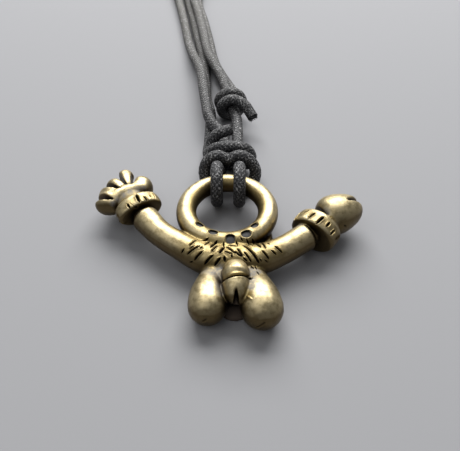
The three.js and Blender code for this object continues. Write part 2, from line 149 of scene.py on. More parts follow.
# the cord: places are from the ring's wire where the hitch holds it
cordLook = {
    "origin": (0, 12.3, 0),
    "diameter": 2.0,
    "sides": 48,
    "step": 0.11,       # rings along the stretches in view
    "coilStep": 0.22,
    "strands": 8,       # braided yarns each way round
    "lay": 0.72,        # length of a yarn's crossing
    "relief": 0.085,
    "yarnRound": 0.7,   # how full a yarn's back is
    "middle": 0.75,     # share of the relief at the cord's own radius
}
ringWire = {"radius": 6.5, "height": 4.03, "wrap": 2.88}


def roundTheWire(x, angles):
    wireY = math.sqrt(ringWire["radius"] ** 2 - x**2) - ringWire["radius"]
    return [(x, wireY + ringWire["wrap"] * math.cos(math.radians(a)),
             ringWire["height"] + ringWire["wrap"] * math.sin(math.radians(a))) for a in angles]


downThroughRing = range(36, 271, 26)
hitchPoints = [
    (-0.75, 5.8, 3.1), (-1.2, 4.3, 2.9), *roundTheWire(-1.7, downThroughRing),
    (-2.6, 1.9, 1.2), (-3.6, 2.9, 1.9), (-3.95, 3.9, 3.3), (-3.2, 4.75, 4.9), (-1.6, 4.95, 5.7),
    (0.2, 4.75, 5.0), (2.0, 5.0, 5.7), (3.8, 4.7, 4.9), (4.8, 3.8, 3.3), (4.5, 2.9, 1.9), (3.1, 1.8, 1.2),
    *roundTheWire(2.0, reversed(downThroughRing)), (1.85, 4.3, 2.9), (1.8, 5.8, 3.1),
]
legOnePoints = [
    (1.8, 5.8, 3.1), (1.8, 7.5, 3.3), (1.8, 11.5, 3.3), (1.8, 15.5, 3.3), (1.7, 17.9, 3.3),
    (1.32, 19.95, 3.3), (0.8, 22.5, 3.3), (0, 26.4, 3.3), (-0.8, 30.34, 3.3), (-2.0, 34.5, 3.2),
    (-4.1, 41, 3.1), (-5.45, 49.5, 3.1), (-6.85, 58.3, 3.1), (-8.55, 67.5, 3.1), (-8.3, 73.5, 3.5),
    (-6.6, 80.5, 4.7), (-3.0, 87.5, 7.0), (-0.3, 93, 8.8),
]
legTwoPoints = [
    (-0.75, 5.8, 3.1), (-0.6, 7.5, 3.3), (-0.6, 11.5, 3.3), (-0.7, 13.4, 3.1), (-1.6, 15.2, 3.0),
    (-2.9, 17.2, 3.2), (-3.7, 19.6, 3.3), (-4.1, 22.5, 3.3), (-4.75, 27.5, 3.3), (-5.3, 32.5, 3.2),
    (-6.2, 37.5, 2.8), (-7.3, 41.3, 2.2), (-8.15, 45.5, 1.5), (-8.9, 49.5, 1.05), (-10.3, 58.3, 1.05),
    (-12.0, 67.5, 1.05), (-13.4, 73.5, 1.05), (-16.5, 80.5, 1.05), (-20.8, 87.5, 1.3), (-23.7, 93.1, 1.7),
]
tailOnePoints = [
    (-3.4, 13.5, 1.1), (-3.3, 17.5, 1.05), (-3.3, 22.5, 1.05), (-4.2, 27.5, 1.05), (-4.6, 33.5, 1.05),
    (-5.3, 41.3, 1.05), (-6.6, 49.5, 1.05), (-8.0, 58.3, 1.05), (-9.7, 67.5, 1.05), (-11.0, 73.5, 1.3),
    (-14.2, 80.5, 2.3), (-19.0, 87.5, 4.4), (-23.0, 93, 6.3),
]
tailTwoPoints = [
    (1.82, 27, 1.1), (1.4, 29.2, 1.05), (0, 32.7, 1.05), (-1.5, 36.5, 1.05), (-2.9, 41, 1.05),
    (-4.25, 49.5, 1.05), (-5.65, 58.3, 1.05), (-7.35, 67.5, 1.05), (-7.0, 73.5, 1.05), (-5.2, 80.5, 1.4),
    (-2.0, 87.5, 2.8), (-0.1, 93, 4.0),
]
lowerKnotPoints = [
    (-3.4, 13.5, 1.1), (-3.5, 10.7, 1.1), (-2.6, 8.7, 1.1), (0.6, 7.9, 1.1), (3.3, 7.6, 1.5),
    (4.1, 7.4, 3.3), (3.2, 7.3, 5.2), (0.6, 7.2, 5.9), (-1.9, 7.3, 5.4), (-2.9, 7.6, 4.3),
    (-3.05, 8.4, 3.45), (-3.05, 9.5, 3.5), (-2.8, 10.4, 4.3), (-1.9, 10.9, 5.4), (-0.6, 11.1, 6.0),
    (0.6, 11.4, 6.2),
]
upperKnot = {
    "middle": (0.8, 22.5), "along": Vector((-0.2, 0.98)).normalized(), "height": 3.3,
    "wrap": 2.15, "pitch": 2.3,
    "wrapFrom": 1.1,  # along the cord from the middle, as the first value of each place below
    "lead": [(4.2, 1.9, 1.1), (3.3, 1.8, 1.1), (2.6, 1.1, 1.1)],
    "stub": [(-2.7, 1.9, 5.0), (-4.0, 2.6, 4.2), (-5.0, 3.0, 3.7)],
}


def upperKnotPoints(knot):
    rows = list(knot["lead"])
    for angle in range(-90, -631, -45):  # a turn and a half round the cord
        turn = math.radians(angle)
        rows.append((knot["wrapFrom"] + (angle + 270) * knot["pitch"] / 360, knot["wrap"] * math.cos(turn),
                     knot["height"] + knot["wrap"] * math.sin(turn)))
    rows += knot["stub"]
    ux, uy = knot["along"]
    return [(knot["middle"][0] + a * ux + r * uy, knot["middle"][1] + a * uy - r * ux, h) for a, r, h in rows]


coilShape = {
    "diameter": 24.7, "pitch": 2.5, "turns": 1.5, "middle": (-12, 99.5), "height": 1.85,
    "climb": 0.5,  # share of a turn on which the cord climbs to the upper layer
    "dip": 0.2,    # how far it draws in there, as a share of the pitch
    "points": 1400,
}


def coilLine(shape, lowerHeight):
    turns, pitch, across = shape["turns"], shape["pitch"], shape["diameter"]
    whole = 2 * turns + shape["climb"]
    lead = cordLook["diameter"] / (math.pi * across)
    place = np.linspace(-lead, whole + lead, shape["points"])
    wound = np.clip(place, 0, whole)
    climb = np.clip((wound - turns) / shape["climb"], 0, 1)
    drawnIn = np.minimum(np.minimum(wound, turns), whole - wound)
    radius = across / 2 - pitch * drawnIn - shape["dip"] * pitch * np.sin(climb * math.pi)
    angle = math.pi * (1 - 2 * wound)
    return np.stack([shape["middle"][0] + radius * np.cos(angle),
                     shape["middle"][1] + radius * np.sin(angle) - np.abs(place - wound) * math.pi * across,
                     lowerHeight + pitch * smoothStep(climb)], 1)


def braidHeight(around, along, look):
    a = look["strands"] * around + along / look["lay"]
    b = look["strands"] * around - along / look["lay"]
    over = 0.5 + 0.5 * np.sin(math.pi * a) * np.sin(math.pi * b)
    up = np.abs(np.sin(math.pi * a)) ** look["yarnRound"] * (0.5 + 0.5 * over)
    down = np.abs(np.sin(math.pi * b)) ** look["yarnRound"] * (1 - 0.5 * over)
    return np.maximum(up, down)


# a braided tube along a line, with the yarns raised in the mesh
def braidedCord(name, line, look):
    curve = bpy.data.curves.new(name + "Line", "CURVE")
    curve.dimensions = "3D"
    curve.bevel_depth = look["diameter"] / 2
    curve.bevel_resolution = look["sides"] // 2 - 2
    spline = curve.splines.new("POLY")
    spline.points.add(len(line) - 1)
    spline.points.foreach_set("co", np.hstack([line, np.ones((len(line), 1))]).ravel())
    guide = newObject(name + "Line", curve)
    mesh = finishedMesh(guide)
    dropObject(guide)
    sides = look["sides"]
    rings = pointValues(mesh, "co").reshape(len(line), sides, 3)
    raised = braidHeight(np.arange(sides)[None] / sides, runAlong(line)[:, None], look)
    swell = 1 + look["relief"] * (raised - look["middle"]) / (look["diameter"] / 2)
    rings = line[:, None] + (rings - line[:, None]) * swell[..., None]
    mesh.vertices.foreach_set("co", rings.astype(np.float32).ravel())
    floatLayer(mesh, "raised", raised)
    bm = bmesh.new()
    bm.from_mesh(mesh)
    bmesh.ops.holes_fill(bm, edges=[e for e in bm.edges if e.is_boundary], sides=0)
    bmesh.ops.recalc_face_normals(bm, faces=bm.faces)
    bm.to_mesh(mesh)
    bm.free()
    # how far each point faces up, for the painted sheen and the paler tops on the yarns
    floatLayer(mesh, "upper", pointValues(mesh, "normal")[:, 2])
    mesh.name = name
    mesh.shade_smooth()
    return mesh


frayLook = {
    "count": 60, "reach": 0.62, "least": 0.3, "width": 0.1, "tip": 0.35,
    "within": 0.88,  # of the cord's middle
    "rooted": 0.35,  # share of a yarn's length from its root to its middle
    "lean": 0.6, "stray": 0.4,
}


# loose yarn ends at a cut
def yarnEnds(mesh, line, fray):
    bm = bmesh.new()
    bm.from_mesh(mesh)
    raised = bm.verts.layers.float["raised"]
    tip, inward = Vector(line[-1]), Vector(line[-6] - line[-1]).normalized()
    facing = (-inward).to_track_quat("Z", "Y")
    for i in range(fray["count"]):
        turn = goldenTurn * i + chance.uniform(-fray["stray"], fray["stray"])
        out = fray["within"] * math.sqrt((i + 0.5) / fray["count"])
        leanX, leanY = (chance.uniform(-fray["lean"], fray["lean"]) for _ in range(2))
        long = fray["reach"] * chance.uniform(fray["least"], 1)
        root = tip + facing @ Vector((out * math.cos(turn), out * math.sin(turn), 0.0))
        lean = Matrix.Rotation(leanX, 4, "X") @ Matrix.Rotation(leanY, 4, "Y")
        rise = Matrix.Translation((0, 0, long * fray["rooted"]))
        stand = Matrix.LocRotScale(root, facing, None) @ lean @ rise
        yarn = bmesh.ops.create_cone(bm, cap_ends=True, segments=6, radius1=fray["width"],
                                     radius2=fray["width"] * fray["tip"], depth=long, matrix=stand)
        for v in yarn["verts"]:
            v[raised] = chance.uniform(fray["least"], 1)
    bm.to_mesh(mesh)
    bm.free()
    mesh.shade_smooth()


def settle(mesh, origin):
    mesh.transform(Matrix.Scale(mm, 4) @ Matrix.Translation(origin))


# a piece that stands for CAD nodes and moves with a body
def piece(name, mesh, slot, body, *nodes):
    made = newObject(name, mesh)
    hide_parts(*nodes)
    if body:
        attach(made, body)
    return made


def cordPiece(name, line, body, *nodes, frayed=False):
    mesh = braidedCord(name, line, cordLook)
    if frayed:
        yarnEnds(mesh, line, frayLook)
    settle(mesh, cordLook["origin"])
    return piece(name, mesh, "black_cord", body, *nodes)


def inMetres(line):
    return (line + np.array(cordLook["origin"])) * mm


coilOne = coilLine(coilShape, coilShape["height"])
coilTwo = coilLine(coilShape, coilShape["height"] + 2 * coilShape["pitch"])


def legLine(points, coil):
    leg = evenSteps(throughPoints(points + [tuple(coil[0])]), cordLook["step"])
    return np.vstack([leg, evenSteps(coil, cordLook["coilStep"])[1:]])


def strandLine(points):
    return evenSteps(throughPoints(points), cordLook["step"])


hitchLine = strandLine(hitchPoints)
legOneLine = legLine(legOnePoints, coilTwo[::-1])
legTwoLine = legLine(legTwoPoints, coilOne)
tailOneLine = strandLine(tailOnePoints + [tuple(coilTwo[0])])
tailTwoLine = strandLine(tailTwoPoints + [tuple(coilOne[-1])])
lowerKnotLine = strandLine(lowerKnotPoints)
upperKnotLine = strandLine(upperKnotPoints(upperKnot))

hitch = cordPiece("cordHitch", hitchLine, "cord", "cord_hitch")
legOne = cordPiece("cordLegOne", legOneLine, "cord", "leg_one", "coil_two")
legTwo = cordPiece("cordLegTwo", legTwoLine, "cord", "leg_two", "coil_one")
tailOne = cordPiece("cordTailOne", tailOneLine, None, "tail_one")
tailTwo = cordPiece("cordTailTwo", tailTwoLine, None, "tail_two")
lowerKnotPiece = cordPiece("lowerKnot", lowerKnotLine, "lower_knot", "lower_knot", frayed=True)
upperKnotPiece = cordPiece("upperKnot", upperKnotLine, "upper_knot", "upper_knot", frayed=True)
tailOneRests, tailTwoRests = (-4.4, 31.5, 1.05), (-4.0, 47.5, 1.05)  # a knot bends its tail up to here
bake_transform(tailOne, "lower_knot", "cord", start=inMetres(tailOneLine[0]), end=inMetres(tailOneRests))
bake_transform(tailTwo, "upper_knot", "cord", start=inMetres(tailTwoLine[0]), end=inMetres(tailTwoRests))
cords = [hitch, legOne, legTwo, tailOne, tailTwo, lowerKnotPiece, upperKnotPiece]
print("cord laid:", len(cords), "pieces")

# the tape tie round both coils
tapeTie = {"width": 3.0, "thickness": 0.5, "gap": 0.3, "lift": 0.05, "corner": 1.5, "edge": 0.12, "steps": 10}


def makeTie(tie):
    shape = coilShape
    outside = cordLook["diameter"] / 2 + tie["gap"] + tie["thickness"]  # from the middle of the cord
    near = shape["diameter"] / 2 - shape["pitch"] * 1.25 - outside  # turns lie a quarter pitch in at the tie
    far = shape["diameter"] / 2 - shape["pitch"] * 0.25 + outside
    low = tie["lift"]
    high = shape["height"] + 3 * shape["pitch"] + outside
    bm = bmesh.new()
    bmesh.ops.create_grid(bm, x_segments=1, y_segments=1, size=0.5)
    upright = Matrix(((0, 0, 1, 0), (far - near, 0, 0, (far + near) / 2),
                      (0, high - low, 0, (high + low) / 2), (0, 0, 0, 1)))
    bmesh.ops.transform(bm, verts=bm.verts, matrix=upright)
    bmesh.ops.bevel(bm, geom=bm.verts[:], offset=tie["corner"], segments=8, profile=0.5, affect="VERTICES",
                    material=-1)
    rim = bm.edges[:]
    bmesh.ops.delete(bm, geom=bm.faces[:], context="FACES_ONLY")
    bmesh.ops.translate(bm, verts=bm.verts, vec=(-tie["width"] / 2, 0, 0))
    for _ in range(tie["steps"]):
        fresh, rim = extrudeRim(bm, rim)
        bmesh.ops.translate(bm, verts=fresh, vec=(tie["width"] / tie["steps"], 0, 0))
    bmesh.ops.recalc_face_normals(bm, faces=bm.faces)
    around = [e for e in bm.edges if abs(e.verts[0].co.x - e.verts[1].co.x) < 1e-4]
    bmesh.ops.subdivide_edges(bm, edges=[e for e in around if e.calc_length() > 0.4], cuts=24)
    mesh = bpy.data.meshes.new("coilTie")
    bm.to_mesh(mesh)
    bm.free()
    band = newObject("coilTie", mesh)
    wall = band.modifiers.new("wall", "SOLIDIFY")
    wall.thickness = tie["thickness"]
    wall.offset = -1
    edge = band.modifiers.new("edge", "BEVEL")
    edge.width = tie["edge"]
    edge.segments = 2
    edge.limit_method = "ANGLE"
    whole = finishedMesh(band)
    dropObject(band)
    whole.name = "coilTie"
    origin = Vector(cordLook["origin"]) + Vector((*shape["middle"], 0))
    settle(whole, origin)
    whole.shade_smooth()
    return piece("coilTie", whole, "tie_tape", "cord", "coil_tie")


tie = makeTie(tapeTie)
print("tie made")


# forms of the casting: places are from the ring's wire below its eye
bodyOrigin = (0, -0.7, 0)


# a round bar through stations of place and radius; its ends are half balls, or flatter
def limb(bm, stations, sides=36, perStation=7, endRound=1.0):
    line = throughPoints(stations, perStation)
    ways = np.gradient(line[:, :3], axis=0)
    ways /= np.linalg.norm(ways, axis=1)[:, None]
    first, firstWay, last, lastWay = line[0], ways[0], line[-1], ways[-1]
    caps = [(endRound * math.cos(a), math.sin(a)) for a in (0.15, 0.5, 0.85, 1.2)]
    rows = [(first[:3] - firstWay * first[3] * out, firstWay, first[3] * wide) for out, wide in caps]
    rows += [(place[:3], way, place[3]) for place, way in zip(line, ways)]
    rows += [(last[:3] + lastWay * last[3] * out, lastWay, last[3] * wide) for out, wide in caps[::-1]]
    stands = []
    for middle, way, radius in rows:
        facing = Vector(way).to_track_quat("Z", "Y")
        stands.append(Matrix.LocRotScale(Vector(middle), facing, Vector((radius, radius, radius))))
    disc = bmesh.ops.create_circle(bm, cap_ends=True, radius=1, segments=sides, matrix=stands[0])["verts"]
    rim = list({e for v in disc for e in v.link_edges})
    for before, after in zip(stands, stands[1:]):
        fresh, rim = extrudeRim(bm, rim)
        bmesh.ops.transform(bm, verts=fresh, matrix=after @ before.inverted())
    bmesh.ops.contextual_create(bm, geom=rim)


def egg(bm, middle, half, turn=0):
    spin = Matrix.Rotation(math.radians(turn), 3, "Z").to_quaternion()
    stand = Matrix.LocRotScale(Vector(middle), spin, Vector(half))
    bmesh.ops.create_uvsphere(bm, u_segments=40, v_segments=24, radius=1, matrix=stand)


# local Z runs along the way, and local X is the top
def aim(middle, way):
    along = Vector(way).normalized()
    top = (Vector((0, 0, 1)) - along * along.z).normalized()
    side = along.cross(top)
    return Matrix.Translation(middle) @ Matrix((top, side, along)).transposed().to_4x4()


def meshFrom(bm, name):
    bmesh.ops.recalc_face_normals(bm, faces=bm.faces)
    mesh = bpy.data.meshes.new(name)
    bm.to_mesh(mesh)
    bm.free()
    return mesh


def addForm(bm, form, stand):
    bmesh.ops.transform(form, verts=form.verts, matrix=stand)
    held = meshFrom(form, "form")
    bm.from_mesh(held)
    bpy.data.meshes.remove(held)


def turned(bm, profile, stand, steps=64):
    form = bmesh.new()
    corners = [form.verts.new((r, 0, h)) for r, h in profile]
    outline = [form.edges.new(pair) for pair in zip(corners, corners[1:])]
    bmesh.ops.spin(form, geom=corners + outline, cent=(0, 0, 0), axis=(0, 0, 1), angle=2 * math.pi,
                   steps=steps, use_merge=True)
    bmesh.ops.remove_doubles(form, verts=form.verts, dist=1e-4)
    addForm(bm, form, stand)


# a slot that widens along local X to its mouth, and upwards from its floor
def wedge(bm, stand, length, mouth, depth, tipShare=0.12, floorShare=0.55):
    cut = bmesh.ops.create_cube(bm, size=1, matrix=Matrix.Identity(4))["verts"]
    for v in cut:
        v.co.y *= (tipShare if v.co.x < 0 else 1) * (floorShare if v.co.z < 0 else 1)
    bmesh.ops.transform(bm, verts=cut, matrix=stand @ Matrix.Diagonal((length, mouth, depth, 1)))


def slotFromAbove(bm, tip, mouth, width, floor, depth=4.5):
    reach = Vector(mouth) - Vector(tip)
    middle = (Vector(tip) + reach / 2).to_3d() + Vector((0, 0, floor + depth / 2))
    turn = Matrix.Rotation(math.atan2(reach.y, reach.x), 4, "Z")
    wedge(bm, Matrix.Translation(middle) @ turn, reach.length, width, depth)


hoopShape = {
    "middle": (0, ringWire["radius"], ringWire["height"]), "radius": ringWire["radius"], "wire": 3.22,
    "worn": 0.075,  # share lost under the cord
}


def makeHoop(bm, hoop):
    form = bmesh.new()
    stand = Matrix.Translation((hoop["radius"], 0, 0)) @ Matrix.Rotation(math.pi / 2, 4, "X")
    section = bmesh.ops.create_circle(form, segments=32, radius=hoop["wire"] / 2, matrix=stand)["verts"]
    bmesh.ops.spin(form, geom=section + form.edges[:], cent=(0, 0, 0), axis=(0, 0, 1), angle=2 * math.pi,
                   steps=110, use_merge=True)
    for v in form.verts:
        core = v.co.xy.normalized().to_3d() * hoop["radius"]
        v.co = core + (v.co - core) * (1 - hoop["worn"] * max(0, core.y / hoop["radius"]) ** 3)
    addForm(bm, form, Matrix.Translation(hoop["middle"]))


armShape = {
    "left": [(0.5, -3.1, 2.9, 2.6), (-3.4, -2.3, 3.1, 2.45), (-7.0, -0.2, 3.3, 2.15), (-10.4, 2.3, 3.5, 2.05),
             (-12.95, 5.3, 3.65, 2.22)],
    "right": [(0.5, -3.1, 2.9, 2.6), (4.6, -2.7, 3.1, 2.4), (8.4, -1.1, 3.4, 2.15), (12.15, 1.4, 3.7, 2.17)],
    "endRound": 0.35,
}
neckShape = {
    "left": [(-12.8, 5.05, 3.65, 1.4), (-14.1, 7.0, 3.65, 1.4)],
    "right": [(12.0, 1.25, 3.7, 1.4), (13.8, 2.8, 3.7, 1.4)],
    "ring": [(6.3, 0.4, 2.4, 0.9), (6.2, 2.4, 2.7, 0.9)],  # a little web of metal between ring and right arm
}
bellyShape = {"middle": (0.7, -2.7, 2.6), "half": (4.8, 3.6, 2.9)}
ballShape = {
    "left": [(-1.2, -3.2, 2.0, 2.1), (-2.0, -5.4, 2.35, 2.0), (-2.5, -7.4, 2.55, 2.35),
             (-2.7, -9.1, 2.75, 2.72), (-2.75, -10.8, 2.75, 2.85)],
    "right": [(2.6, -3.2, 2.0, 2.1), (3.55, -5.3, 2.4, 2.05), (4.15, -7.4, 2.7, 2.45),
              (4.6, -9.5, 3.0, 2.92), (4.95, -11.4, 3.0, 3.1)],
    "leftValley": [(-0.8, -4.0, 2.5, 1.9), (-1.1, -6.5, 2.65, 1.75), (-1.4, -8.5, 2.4, 1.5)],
    "rightValley": [(3.0, -4.0, 2.5, 1.9), (3.2, -6.5, 2.75, 1.75), (3.5, -8.8, 2.5, 1.6)],
    "web": [(0.8, -3.5, 2.0, 1.6), (1.0, -7.0, 1.2, 1.5)],
}
footShape = {"middle": (1.1, -8.6, 0.3), "half": (2.6, 3.1, 1.2)}  # the low metal between the balls
phallusShape = {
    "hood": [(1.22, -5.95, 4.55, 1.96), (1.25, -6.7, 4.93, 2.0), (1.27, -7.35, 5.08, 2.04)],
    "hoodEnd": 0.4,
    "glans": [(1.27, -7.6, 4.85, 1.8), (1.28, -8.8, 4.85, 1.95), (1.28, -9.6, 4.5, 1.84)],
    "rim": (1.27, -8.1, 5.05),
    "rimWay": (0.15, -0.98, -0.12),
    "rimRadius": 2.1,
    "rimSweep": 1.75,  # to each side of the top
    "slit": {"middle": (1.3, -10.8, 4.9), "tilt": 42, "length": 2.9, "mouth": 1.2, "depth": 1.9},
}
bandShape = {
    "cuff": {"width": 7.5, "height": 4.9, "length": 2.4,
             "middle": (-14.1, 7.0, 4.2), "way": (-0.52, 0.85, 0.03)},
    "collar": {"width": 7.6, "height": 6.6, "length": 2.9,
               "middle": (13.8, 2.8, 3.6), "way": (0.6, 0.8, 0.03)},
}


def makeBand(bm, band):
    r, h = band["width"] / 2, band["length"] / 2
    rounding = [(0.42, 1), (0.2, 0.95), (0.06, 0.72), (0, 0.25)]  # in from the outside, and along
    profile = [(0, -h)] + [(r - inward, -h * along) for inward, along in rounding]
    profile += [(r - inward, h * along) for inward, along in rounding[::-1]] + [(0, h)]
    squeeze = Matrix.Diagonal((band["height"] / band["width"], 1, 1, 1))
    turned(bm, profile, aim(band["middle"], band["way"]) @ squeeze, steps=72)


fistShape = {
    "palm": {"middle": (-15.9, 9.4, 3.8), "half": (3.4, 2.9, 2.2), "turn": 115},
    "back": {"turn": 163, "reach": 2.1, "half": (3.0, 3.6, 2.15)},
    "fingers": [(196, 3.15), (164, 2.6), (136, 2.75)],  # turn and reach from the palm
    "fingerHalf": (2.4, 1.8, 2.2),
    "thumb": [(-15.9, 9.5, 3.9, 1.3), (-16.6, 12.6, 4.0, 1.4), (-17.1, 14.4, 3.85, 1.46)],
    "lastFinger": {"middle": (-14.05, 11.75, 3.95), "half": (1.85, 1.95, 2.25)},
    "knuckles": [(-18.4, 7.9, 4.6, 1.25), (-17.2, 9.3, 4.95, 1.25), (-15.6, 10.2, 5.05, 1.2),
                 (-13.9, 10.9, 4.85, 1.3)],
    "slots": [  # tip, mouth and width, seen from above
        ((-18.0, 7.6), (-22.0, 9.15), 2.4), ((-17.0, 9.75), (-21.0, 12.0), 2.2),
        ((-16.1, 10.7), (-18.9, 14.8), 2.0), ((-15.4, 10.4), (-15.35, 14.6), 1.9),
    ],
    "slotFloor": 3.0,
}


def makeFist(bm, fist):
    px, py, pz = fist["palm"]["middle"]
    egg(bm, **fist["palm"])
    forms = [(fist["back"]["turn"], fist["back"]["reach"], fist["back"]["half"])]
    forms += [(turn, reach, fist["fingerHalf"]) for turn, reach in fist["fingers"]]
    for turn, reach, half in forms:
        a = math.radians(turn)
        egg(bm, (px + reach * math.cos(a), py + reach * math.sin(a), pz), half, turn)
    limb(bm, fist["thumb"])
    egg(bm, **fist["lastFinger"])
    limb(bm, fist["knuckles"])


glansShape = {
    "base": (14.8, 4.6, 4.15), "way": (0.9, 0.42, 0), "length": 7.2, "widest": 3.25,
    "profile": [  # shares of radius and length
        (0, 0), (0.66, 0), (0.8, 0.05), (0.93, 0.13), (1, 0.24), (0.985, 0.42), (0.9, 0.58),
        (0.78, 0.73), (0.62, 0.85), (0.44, 0.93), (0.22, 0.985), (0, 1),
    ],
    "slit": ((18.7, 6.3), (22.2, 8.2), 3.0),
    "slitFloor": 4.3,
}


def makeGlans(bm, glans):
    profile = [(r * glans["widest"], h * glans["length"]) for r, h in glans["profile"]]
    turned(bm, profile, aim(glans["base"], glans["way"]))


def castForms():
    bm = bmesh.new()
    makeHoop(bm, hoopShape)
    egg(bm, **bellyShape)
    egg(bm, **footShape)
    for side in ("left", "right"):
        limb(bm, armShape[side], endRound=armShape["endRound"])
    for stations in [*neckShape.values(), *ballShape.values(), phallusShape["glans"]]:
        limb(bm, stations)
    limb(bm, phallusShape["hood"], endRound=phallusShape["hoodEnd"])
    for band in bandShape.values():
        makeBand(bm, band)
    makeFist(bm, fistShape)
    makeGlans(bm, glansShape)
    for v in bm.verts:
        v.co.z = max(v.co.z, 0)  # the flat back
    return meshFrom(bm, "castForms")


def castCuts():
    bm = bmesh.new()
    for tip, mouth, width in fistShape["slots"]:
        slotFromAbove(bm, tip, mouth, width, fistShape["slotFloor"])
    slotFromAbove(bm, *glansShape["slit"], glansShape["slitFloor"])
    slit = phallusShape["slit"]
    turn = Matrix.Rotation(math.radians(-90), 4, "Z") @ Matrix.Rotation(math.radians(slit["tilt"]), 4, "Y")
    wedge(bm, Matrix.Translation(slit["middle"]) @ turn, slit["length"], slit["mouth"], slit["depth"])
    return meshFrom(bm, "castCuts")


castingMesh = {
    "voxel": 0.13, "ease": 2, "openEase": 8, "share": 0.26, "markReach": 0.62,
    "creviceSpan": 10, "creviceDepth": 0.01,
    "shelterReach": 2.6, "shelterLift": 0.06, "rays": 20,
    "proudSpan": 60, "proudHeight": 0.16,
    "keyLightWay": (0, 0.3, 0.954),  # the side the key light falls on; faces turned away from it get painted shade
}


def castSolid(shape):
    rough, cutter = newObject("castForms", castForms()), newObject("castCuts", castCuts())
    for title in ("whole", "even"):
        remesh = rough.modifiers.new(title, "REMESH")
        remesh.mode = "VOXEL"
        remesh.voxel_size = shape["voxel"]
        if title == "whole":
            away = rough.modifiers.new("away", "BOOLEAN")
            away.operation = "DIFFERENCE"
            away.object = cutter
            away.solver = "MANIFOLD"
    made = finishedMesh(rough)
    dropObject(rough)
    dropObject(cutter)
    return made


casting = castSolid(castingMesh)
print("casting joined:", len(casting.vertices), "points")

# marks on the casting, in the part's own places
hairStrokes = [  # from, to and width of each graver stroke, seen from above
    (-4.5, -1.4, -5.6, -2.6, 0.36), (-4.8, -2.6, -5.6, -3.1, 0.24), (-4.0, -2.7, -5.9, -3.7, 0.4),
    (-2.7, -1.0, -3.9, -1.6, 0.36), (-2.6, -1.4, -3.3, -2.6, 0.3), (-1.5, -1.5, -2.4, -3.0, 0.46),
    (-1.3, -2.4, -2.3, -3.8, 0.34), (-3.9, -3.1, -3.7, -3.0, 0.36), (-6.3, -2.8, -6.8, -3.3, 0.34),
    (-3.5, -3.6, -4.8, -4.6, 0.42), (-2.0, -4.3, -3.3, -5.3, 0.44), (-5.0, -4.6, -5.5, -4.5, 0.28),
    (-0.9, -4.7, -1.8, -5.6, 0.46), (-0.5, -1.7, -0.5, -2.8, 0.28), (-0.4, -2.8, -1.1, -4.1, 0.5),
    (-0.4, -4.5, -0.3, -5.3, 0.5), (-0.1, -2.8, 1.3, -4.1, 0.38), (-0.4, -3.7, 0.8, -4.2, 0.34),
    (0.1, -2.5, 1.6, -2.7, 0.3), (1.3, -1.5, 1.6, -2.5, 0.32), (0.6, -4.2, 0.8, -4.8, 0.34),
    (1.5, -3.1, 2.3, -4.6, 0.36), (1.0, -3.7, 2.2, -4.6, 0.44), (2.4, -2.2, 4.7, -5.3, 0.46),
    (2.5, -3.8, 3.6, -5.3, 0.36), (2.0, -1.0, 2.4, -1.5, 0.32), (2.9, -1.1, 3.8, -2.5, 0.32),
    (3.8, -0.9, 5.0, -3.0, 0.42), (4.9, -0.8, 5.7, -3.2, 0.3), (6.0, -2.0, 6.3, -2.4, 0.3),
    (7.0, -2.7, 8.2, -3.6, 0.36), (6.5, -3.4, 7.3, -4.0, 0.34), (5.1, -3.5, 6.2, -4.7, 0.36),
    (4.7, -4.7, 5.1, -5.1, 0.28), (2.3, -4.7, 3.0, -5.2, 0.36), (3.5, -5.7, 3.9, -6.3, 0.34),
    (4.1, -5.6, 4.3, -6.4, 0.32), (4.3, -6.8, 4.6, -7.8, 0.3), (5.5, -4.8, 6.0, -5.0, 0.26),
]
ringPits = [  # middle, half width, half length and turn of each punched oval
    (-4.2, 1.6, 0.66, 0.46, -38), (-2.1, 0.0, 0.72, 0.52, -18), (0.5, -1.3, 0.74, 0.76, 0),
    (2.9, -0.3, 0.8, 0.6, 22), (4.2, 1.4, 0.66, 0.5, 42),
]
